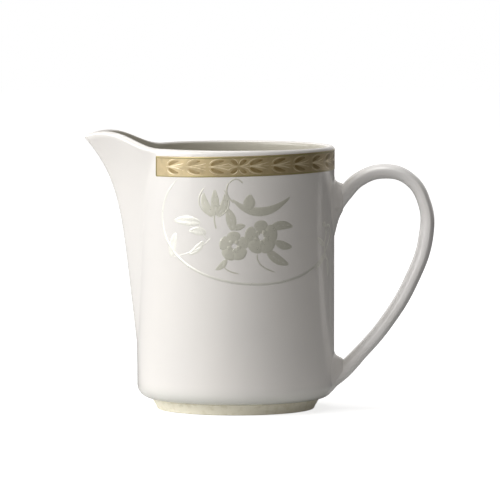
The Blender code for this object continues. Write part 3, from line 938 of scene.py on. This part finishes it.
def lay_low(obj):
    """Puts a piece of the band where the band was laid."""
    def lowered(point):
        return Vector((point.x, point.y, point.z - BAND_DROP + BAND_TILT * (point.x - AXIS_X)))

    reshape(obj, lowered)


class CREAMJUG_OT_make_band(bpy.types.Operator):
    """Lays the gilt band with its border lines, from one side of the lip round to the other"""

    bl_idname = "creamjug.make_band"
    bl_label = "Make Gilt Band"

    def execute(self, context):
        size = sizes()
        radius = size.body_radius
        top, bottom = size.band_top, size.band_bottom
        start = -math.pi + BAND_END
        sweep = 2 * (math.pi - BAND_END)
        inside, outside = radius - BAND_DEPTH, radius + BAND_RISE
        upper, lower = (outside, top - BAND_EDGE), (outside, bottom + BAND_EDGE)
        profile = [(outside - BAND_EDGE, top), upper, *line_points(upper, lower, 10), lower]
        profile += [(outside - BAND_EDGE, bottom), (inside, bottom), (inside, top)]
        band = turn(draw_profile("gilt_band_ground", profile + [profile[0]], start), BAND_STEPS, sweep)
        close_ends(band)
        lay_low(band)
        complete(band, print_material("gilt"), ["gilt_band"])

        lines = []
        places = [(top - UPPER_LINE[0], UPPER_LINE[1])]
        places += [(bottom + distance, width) for distance, width in LOWER_LINES]
        for height, width in places:
            ring = arc_points((outside - 0.02 * MM, height), width / 2, -90, 90, 8)
            ring = [(radius + (distance - radius) * LINE_FLATNESS, level) for distance, level in ring]
            ring += [(radius, height)]
            line = turn(draw_profile("band_line", ring + [ring[0]], start), BAND_STEPS, sweep)
            close_ends(line)
            lines.append(line)
        for angle in (start, start + sweep):
            upright = bent_stroke("stem", (0, -3.6), (0, 0), (0, 3.6), 0.55, 0.3, 0, 16, 6)
            wrap_on_wall(upright, angle, (top + bottom) / 2)
            lines.append(upright)
        border = join(lines, "gilt_band_lines")
        lay_low(border)
        complete(border, print_material("line"), [])
        return {"FINISHED"}


def close_ends(obj):
    """Fills the two open ends of a part turned less than a full turn."""
    hold(obj)
    bpy.ops.object.mode_set(mode="EDIT")
    bpy.ops.mesh.select_mode(type="EDGE")
    bpy.ops.mesh.select_all(action="DESELECT")
    bpy.ops.mesh.select_non_manifold(extend=False, use_wire=False, use_boundary=True, use_multi_face=False)
    bpy.ops.mesh.fill()
    turn_outwards()


class CREAMJUG_OT_make_laurel(bpy.types.Operator):
    """Lays the laurel leaves and their ribs on the gilt band"""

    bl_idname = "creamjug.make_laurel"
    bl_label = "Make Laurel"

    def execute(self, context):
        size = sizes()
        middle = (size.band_top + size.band_bottom) / 2
        whole_pitch = LAUREL_PITCH * size.body_radius / MM
        angles = []
        for way in (1, -1):
            angle = LAUREL_JOINT + LAUREL_GAP * way
            while abs(angle) < math.pi - BAND_END - LAUREL_PITCH * LAUREL_END:
                angles.append(angle)
                angle += LAUREL_PITCH * way
        for draw, name, part in (
            (laurel_leaves, "laurel_leaves", "leaf"),
            (laurel_ribs, "laurel_ribs", "rib"),
        ):
            cell = join(draw(whole_pitch, 1), "laurel_cell")
            garland = []
            for angle in angles:
                other = copy_of(cell)
                other.data.transform(Matrix.Translation((angle * size.body_radius, 0, 0)))
                garland.append(other)
            for way in (-1, 1):
                half = join(draw(whole_pitch * LAUREL_PAIR_LENGTH, way), "laurel_meeting")
                offset = (LAUREL_JOINT + LAUREL_PAIR_OFFSET * way) * size.body_radius
                half.data.transform(Matrix.Translation((offset, 0, 0)))
                garland.append(half)
            bpy.data.objects.remove(cell, do_unlink=True)
            whole = join(garland, name)
            wrap_on_wall(whole, 0.0, middle, BAND_RISE)
            lay_low(whole)
            complete(whole, print_material(part), [])
        return {"FINISHED"}


def laurel_leaves(pitch, way):
    """A pair of leaves that opens to the right, or to the left where way is -1."""
    leaves = []
    for side in (1, -1):
        root, bow, tip = (-0.36 * pitch, 0.35), (-0.10 * pitch, 1.55), (0.26 * pitch, 2.15)
        places = [(along * way, height * side) for along, height in (root, bow, tip)]
        leaves.append(bent_stroke("leaf", *places, 2.2, 0.05, 0, 10, 4))
    return leaves


def laurel_ribs(pitch, way):
    """The pale strokes beside a pair of leaves, and the stem between them."""
    ribs = []
    for side in (1, -1):
        for root, bow, tip, width in (
            ((-0.40 * pitch, 0.15), (0.06 * pitch, 0.45), (0.50 * pitch, 1.45), 0.62),
            ((-0.42 * pitch, 0.65), (-0.24 * pitch, 2.25), (0.20 * pitch, 2.95), 0.42),
        ):
            places = [(along * way, height * side) for along, height in (root, bow, tip)]
            ribs.append(bent_stroke("horn", *places, width, 0.07, 0, 10, 4))
    ribs.append(bent_stroke("stem", (-0.5 * pitch, 0), (0, 0), (0.5 * pitch, 0), 0.3, 0.06, 0, 8, 4))
    return ribs


# ---------------------------------------------------------------- finishes


def wire(source, output, target, entry=None):
    """Joins a node's output to another node's input, which has the same name if none is given."""
    entry = output if entry is None else entry
    source.id_data.links.new(source.outputs[output], target.inputs[entry])


def set_inputs(node, values):
    for label, value in values.items():
        node.inputs[label].default_value = value


def add_range(nodes, low, high, at_low=0.0, at_high=1.0):
    """A node that carries the span from low to high over to the one from at_low to at_high."""
    node = nodes.new("ShaderNodeMapRange")
    set_inputs(node, {"From Min": low, "From Max": high, "To Min": at_low, "To Max": at_high})
    return node


def add_colour_mix(nodes):
    node = nodes.new("ShaderNodeMix")
    node.data_type = "RGBA"
    return node


def new_group(name, inputs, outputs):
    """An empty shader node group with a Vector input, its other inputs with their values, and its outputs."""
    group = bpy.data.node_groups.new(name, "ShaderNodeTree")
    group.interface.new_socket(name="Vector", in_out="INPUT", socket_type="NodeSocketVector")
    for label, value in inputs.items():
        kind = "NodeSocketColor" if isinstance(value, tuple) else "NodeSocketFloat"
        group.interface.new_socket(name=label, in_out="INPUT", socket_type=kind).default_value = value
    for label, kind in outputs.items():
        group.interface.new_socket(name=label, in_out="OUTPUT", socket_type=kind)
    return group, group.nodes.new("NodeGroupInput"), group.nodes.new("NodeGroupOutput")


def soft_tone_group(name="soft_tone"):
    """Broad, soft patches of a second colour."""
    if name in bpy.data.node_groups:
        return bpy.data.node_groups[name]
    group, entry, leave = new_group(
        name,
        {
            "Colour": (0.8, 0.8, 0.8, 1), "Second Colour": (0.6, 0.6, 0.6, 1),
            "Scale": 40.0, "Detail": 3.0, "Low": 0.35, "High": 0.7,
        },
        {"Colour": "NodeSocketColor", "Mask": "NodeSocketFloat"},
    )
    noise = group.nodes.new("ShaderNodeTexNoise")
    spread = group.nodes.new("ShaderNodeMapRange")
    mix = add_colour_mix(group.nodes)
    for label in ("Vector", "Scale", "Detail"):
        wire(entry, label, noise)
    wire(noise, "Fac", spread, "Value")
    wire(entry, "Low", spread, "From Min")
    wire(entry, "High", spread, "From Max")
    wire(spread, "Result", mix, "Factor")
    wire(entry, "Colour", mix, "A")
    wire(entry, "Second Colour", mix, "B")
    wire(mix, "Result", leave, "Colour")
    wire(spread, "Result", leave, "Mask")
    return group


def fine_grain_group(name="fine_grain"):
    """Small relief on two scales, and a roughness that follows it."""
    if name in bpy.data.node_groups:
        return bpy.data.node_groups[name]
    group, entry, leave = new_group(
        name,
        {"Coarse Scale": 120.0, "Fine Scale": 900.0, "Fine Share": 0.3, "Smoothest": 0.1, "Roughest": 0.2},
        {"Height": "NodeSocketFloat", "Roughness": "NodeSocketFloat"},
    )
    mix = group.nodes.new("ShaderNodeMix")
    for scale, detail, side in (("Coarse Scale", 1.5, "A"), ("Fine Scale", 2.0, "B")):
        noise = group.nodes.new("ShaderNodeTexNoise")
        noise.inputs["Detail"].default_value = detail
        wire(entry, "Vector", noise)
        wire(entry, scale, noise, "Scale")
        wire(noise, "Fac", mix, side)
    spread = add_range(group.nodes, 0.3, 0.7)
    wire(entry, "Fine Share", mix, "Factor")
    wire(mix, "Result", leave, "Height")
    wire(mix, "Result", spread, "Value")
    wire(entry, "Smoothest", spread, "To Min")
    wire(entry, "Roughest", spread, "To Max")
    wire(spread, "Result", leave, "Roughness")
    return group


def add_group(mapping, group, **values):
    """Places a shared group in a material, with its own values for the inputs that are named."""
    node = mapping.id_data.nodes.new("ShaderNodeGroup")
    node.node_tree = group
    wire(mapping, "Vector", node)
    set_inputs(node, {label.replace("_", " ").title(): value for label, value in values.items()})
    return node


def two_tone_material(name, main_colour, second_colour, tone, grain, strength, depth):
    """A material with patches of a second colour and a fine grain, both laid out from the jug's axis.

    tone and grain hold their groups' values. strength and depth say how far the grain stands out.
    """
    material = bpy.data.materials.new(name)
    material.use_nodes = True
    nodes = material.node_tree.nodes
    shader = nodes["Principled BSDF"]
    places = nodes.new("ShaderNodeTexCoord")
    mapping = nodes.new("ShaderNodeMapping")
    mapping.inputs["Location"].default_value = (-AXIS_X, 0, 0)
    wire(places, "Object", mapping, "Vector")
    patches = add_group(
        mapping, soft_tone_group(), colour=(*main_colour, 1), second_colour=(*second_colour, 1), **tone
    )
    stipple = add_group(mapping, fine_grain_group(), **grain)
    bump = nodes.new("ShaderNodeBump")
    set_inputs(bump, {"Strength": strength, "Distance": depth})
    wire(patches, "Colour", shader, "Base Color")
    wire(stipple, "Roughness", shader)
    wire(stipple, "Height", bump)
    wire(bump, "Normal", shader)
    return material, shader, mapping, patches


# Heights between which the glaze turns darker and greener towards the foot, and how much it does so at the
# lowest.
LOW_TINT_TOP = 11 * MM
LOW_TINT_BOTTOM = 4 * MM
LOW_TINT_SHARE = 0.55


def glaze_material(name, main_colour, second_colour):
    """Glossy glaze over white porcelain, with a faint ripple, darker and greener low down, and darkened
    inside the jug as painted shade.
    """
    material, shader, mapping, patches = two_tone_material(
        name, main_colour, second_colour,
        {"scale": 26.0, "low": 0.4, "high": 0.75},
        {"coarse_scale": 170.0, "fine_scale": 1500.0, "fine_share": 0.12, "smoothest": 0.1, "roughest": 0.17},
        0.10, 0.25 * MM,
    )
    nodes = material.node_tree.nodes
    height = nodes.new("ShaderNodeSeparateXYZ")
    low_tint_range = add_range(nodes, LOW_TINT_TOP, LOW_TINT_BOTTOM, 0.0, LOW_TINT_SHARE)
    low_tint_range.interpolation_type = "SMOOTHSTEP"
    low_tinted = add_colour_mix(nodes)
    low_tinted.inputs["B"].default_value = (*colours().low_body_tint, 1)
    # The inner wall and floor take the inside colour: painted shade inside the jug.
    inner_wall = nodes.new("ShaderNodeAttribute")
    inner_wall.attribute_name = INNER_WALL_MARK
    inside = add_colour_mix(nodes)
    inside.inputs["B"].default_value = (*colours().inside_painted_shade, 1)
    wire(mapping, "Vector", height)
    wire(height, "Z", low_tint_range, "Value")
    wire(low_tint_range, "Result", low_tinted, "Factor")
    wire(patches, "Colour", low_tinted, "A")
    wire(inner_wall, "Fac", inside, "Factor")
    wire(low_tinted, "Result", inside, "A")
    wire(inside, "Result", shader, "Base Color")
    set_inputs(shader, {"Coat Weight": 0.35, "Coat Roughness": 0.06})
    return material


def body_glaze():
    return glaze_material("porcelain_glaze", colours().glaze, colours().glaze_shade)


# The handle's whiter glaze is painted light on the handle.
def handle_glaze():
    return glaze_material("handle_glaze", colours().handle_glaze, colours().glaze)


def foot_material():
    """Thin glaze that leaves the sole bare and speckled. Its colour is the ring's own pale tone, tinted khaki
    as painted reflection and shade under the body.
    """
    return two_tone_material(
        "bare_foot", colours().foot, colours().foot_shade,
        {"scale": 420.0, "detail": 4.0, "low": 0.48, "high": 0.72},
        {"coarse_scale": 500.0, "fine_scale": 2600.0, "fine_share": 0.5, "smoothest": 0.38, "roughest": 0.62},
        0.35, 0.15 * MM,
    )[0]


def slip_material():
    """Fired slip under glaze, a little darker in the joint."""
    name = "fired_slip"
    if name in bpy.data.materials:
        return bpy.data.materials[name]
    material, shader, _, _ = two_tone_material(
        name, colours().slip, colours().glaze_shade,
        {"scale": 300.0, "detail": 3.0, "low": 0.4, "high": 0.7},
        {"coarse_scale": 400.0, "fine_scale": 2000.0, "fine_share": 0.3, "smoothest": 0.14, "roughest": 0.26},
        0.2, 0.1 * MM,
    )
    shader.inputs["Coat Weight"].default_value = 0.3
    return material


# The prints and enamels, under the names of their colours. Each has the colour of its rubbed parts, which is
# its own and a little darker where none is named, its material's name, how metallic it is, how rough it is
# where smoothest and where roughest, and how much clear flux lies over it.
PRINTS = {
    "gilt": ("gilt_shade", "gilt_ground", 0.56, 0.33, 0.48, 0.7),
    "leaf": ("gilt_shade", "laurel_gilding", 0.45, 0.34, 0.50, 0.25),
    "rib": ("gilt", "laurel_rib_gilding", 0.45, 0.30, 0.44, 0.7),
    "line": ("gilt_shade", "band_line_gilding", 0.45, 0.30, 0.44, 0.6),
    "enamel": (None, "satin_enamel", 0.42, 0.26, 0.36, 0.2),
    "pale_enamel": (None, "pale_satin_enamel", 0.42, 0.26, 0.36, 0.2),
}


# Rubbed parts of a print: their shade beside the colour, and their share of its metal.
WORN_SHADE = 0.93
WORN_METAL = 0.7


def print_material(part):
    """A printed and fired film, rubbed in places, finely stippled and sunk in clear flux."""
    rubbed, name, metallic, smoothest, roughest, flux = PRINTS[part]
    if name in bpy.data.materials:
        return bpy.data.materials[name]
    colour = getattr(colours(), part)
    worn = [channel * WORN_SHADE for channel in colour] if rubbed is None else getattr(colours(), rubbed)
    material, shader, _, patches = two_tone_material(
        name, colour, worn,
        {"scale": 310.0, "detail": 5.0, "low": 0.42, "high": 0.68},
        {
            "coarse_scale": 700.0, "fine_scale": 3200.0, "fine_share": 0.5,
            "smoothest": smoothest, "roughest": roughest,
        },
        0.30, 0.10 * MM,
    )
    set_inputs(shader, {"Specular IOR Level": 0.9, "Coat Weight": flux, "Coat Roughness": 0.30})
    wear = add_range(material.node_tree.nodes, 0.0, 1.0, metallic, metallic * WORN_METAL)
    wire(patches, "Mask", wear, "Value")
    wire(wear, "Result", shader, "Metallic")
    return material


# ---------------------------------------------------------------- floor, light and camera

def towards(left, up):
    """The direction so many degrees to the left of the front and so many up."""
    left, up = math.radians(left), math.radians(up)
    return Vector((-math.sin(left), -math.cos(left), math.tan(up)))


# Each soft light: its direction from the jug, its distance and size in metres and its power in watts.
LIGHTS = {
    "key_light": (towards(57, 27), 1.9, 1.5, 17.0),
    "top_light": (Vector((-0.1, 0.1, 1)), 1.6, 0.9, 8.0),
    "window_light": (towards(80, 4), 1.7, 1.7, 19.3),
}
FLOOR_SIZE = 5.0
FLOOR_GLOW = 0.76
CAMERA_X = -3.6 * MM
CAMERA_DISTANCE = 2009.0 * MM
CAMERA_HEIGHT = 205.8 * MM
CAMERA_AIM_HEIGHT = 56.7 * MM
CAMERA_LENS = 405.0
CAMERA_SENSOR = 36.0


def add_soft_light(name, direction, distance, size, power, target):
    deselect_all()
    place = target + direction.normalized() * distance
    bpy.ops.object.light_add(type="AREA", location=place)
    lamp = rename(bpy.context.object, name)
    lamp.data.shape = "SQUARE"
    lamp.data.size = size
    lamp.data.energy = power
    lamp.rotation_euler = (target - place).to_track_quat("-Z", "Y").to_euler()


def show_two_ways(for_light, for_eye, output):
    """Lets the eye see one shader while light meets the other."""
    nodes = for_light.id_data.nodes
    ray = nodes.new("ShaderNodeLightPath")
    mix = nodes.new("ShaderNodeMixShader")
    wire(ray, "Is Camera Ray", mix, "Fac")
    wire(for_light, 0, mix, 1)
    wire(for_eye, 0, mix, 2)
    wire(mix, "Shader", nodes[output], "Surface")


def floor_material():
    """Pale floor. It throws back less light than it shows, most of it near the jug and on the lip side."""
    material = bpy.data.materials.new("pale_floor")
    material.use_nodes = True
    nodes = material.node_tree.nodes
    shader = nodes["Principled BSDF"]
    set_inputs(shader, {
        "Base Color": (*colours().floor, 1), "Roughness": 0.9, "Specular IOR Level": 0.0,
        "Emission Color": (1, 1, 1, 1), "Emission Strength": FLOOR_GLOW,
    })
    dim = nodes.new("ShaderNodeBsdfDiffuse")
    places = nodes.new("ShaderNodeTexCoord")
    distance = nodes.new("ShaderNodeVectorMath")
    distance.operation = "LENGTH"
    close_by = add_range(nodes, 45 * MM, 95 * MM, 0.72, 0.20)
    side = nodes.new("ShaderNodeSeparateXYZ")
    lip_side = add_range(nodes, -30 * MM, -130 * MM, 0.0, 0.55)
    both = nodes.new("ShaderNodeMath")
    both.operation = "MAXIMUM"
    wire(places, "Object", distance, 0)
    wire(places, "Object", side, "Vector")
    wire(side, "X", lip_side, "Value")
    wire(distance, "Value", close_by)
    wire(close_by, "Result", both, 0)
    wire(lip_side, "Result", both, 1)
    wire(both, "Value", dim, "Color")
    show_two_ways(dim, shader, "Material Output")
    return material


def light_room():
    """A white backdrop for the eye, and a room for the glaze, pale on the left and dim on the right."""
    world = bpy.data.worlds.new("studio_room")
    bpy.context.scene.world = world
    world.use_nodes = True
    nodes = world.node_tree.nodes
    backdrop = nodes["Background"]
    set_inputs(backdrop, {"Color": (1, 1, 1, 1), "Strength": 1.0})
    room = nodes.new("ShaderNodeBackground")
    room.inputs["Color"].default_value = (1.0, 0.97, 0.94, 1)
    places = nodes.new("ShaderNodeTexCoord")
    side = nodes.new("ShaderNodeSeparateXYZ")
    across = add_range(nodes, -1.0, 0.6, 0.62, 0.07)
    behind = add_range(nodes, 0.35, 1.0, 0.0, 0.62)
    before = add_range(nodes, -0.3, -1.0, 0.0, 0.31)
    ends = nodes.new("ShaderNodeMath")
    total = nodes.new("ShaderNodeMath")
    wire(places, "Generated", side, "Vector")
    wire(side, "X", across, "Value")
    wire(side, "Y", behind, "Value")
    wire(side, "Y", before, "Value")
    wire(behind, "Result", ends, 0)
    wire(before, "Result", ends, 1)
    wire(across, "Result", total, 0)
    wire(ends, "Value", total, 1)
    wire(total, "Value", room, "Strength")
    show_two_ways(room, backdrop, "World Output")


class CREAMJUG_OT_make_stage(bpy.types.Operator):
    """Sets up the floor, the light and the camera"""

    bl_idname = "creamjug.make_stage"
    bl_label = "Make Stage"

    def execute(self, context):
        deselect_all()
        bpy.ops.mesh.primitive_plane_add(size=FLOOR_SIZE, location=(0, 0, 0))
        floor = rename(bpy.context.object, "floor")
        settle(floor)
        floor.data.materials.append(floor_material())
        target = Vector((AXIS_X, 0, sizes().rim_height / 2))
        for name, (direction, distance, size, power) in LIGHTS.items():
            add_soft_light(name, direction, distance, size, power, target)
        light_room()
        pitch = math.atan2(CAMERA_HEIGHT - CAMERA_AIM_HEIGHT, CAMERA_DISTANCE)
        bpy.ops.object.camera_add(
            location=(CAMERA_X, -CAMERA_DISTANCE, CAMERA_HEIGHT), rotation=(math.pi / 2 - pitch, 0, 0)
        )
        camera = rename(bpy.context.object, "camera")
        camera.data.sensor_width = CAMERA_SENSOR
        camera.data.lens = CAMERA_LENS
        context.scene.camera = camera
        context.scene.view_settings.view_transform = "Standard"
        return {"FINISHED"}


class CREAMJUG_PT_panel(bpy.types.Panel):
    """Lists the jug's sizes, colours and pieces"""

    bl_idname = "CREAMJUG_PT_panel"
    bl_label = "Cream Jug"
    bl_space_type = "VIEW_3D"
    bl_region_type = "UI"
    bl_category = "Cream Jug"

    def draw(self, context):
        layout = self.layout
        for group in (context.scene.cream_jug_sizes, context.scene.cream_jug_colours):
            column = layout.column()
            for name in group.bl_rna.properties.keys():
                if name not in ("rna_type", "name"):
                    column.prop(group, name)
        for operator in OPERATORS:
            layout.operator(operator.bl_idname)


OPERATORS = (
    CREAMJUG_OT_make_body,
    CREAMJUG_OT_make_foot,
    CREAMJUG_OT_make_handle,
    CREAMJUG_OT_make_seams,
    CREAMJUG_OT_make_band,
    CREAMJUG_OT_make_laurel,
    CREAMJUG_OT_make_enamels,
    CREAMJUG_OT_make_stage,
)
CLASSES = (CreamJugSizes, CreamJugColours, *OPERATORS, CREAMJUG_PT_panel)


def register():
    for item in CLASSES:
        bpy.utils.register_class(item)
    bpy.types.Scene.cream_jug_sizes = bpy.props.PointerProperty(type=CreamJugSizes)
    bpy.types.Scene.cream_jug_colours = bpy.props.PointerProperty(type=CreamJugColours)


def unregister():
    del bpy.types.Scene.cream_jug_colours
    del bpy.types.Scene.cream_jug_sizes
    for item in reversed(CLASSES):
        bpy.utils.unregister_class(item)


def main():
    register()
    bpy.ops.creamjug.make_body()
    bpy.ops.creamjug.make_foot()
    bpy.ops.creamjug.make_handle()
    bpy.ops.creamjug.make_seams()
    bpy.ops.creamjug.make_band()
    bpy.ops.creamjug.make_laurel()
    bpy.ops.creamjug.make_enamels()
    bpy.ops.creamjug.make_stage()


if __name__ == "__main__":
    main()
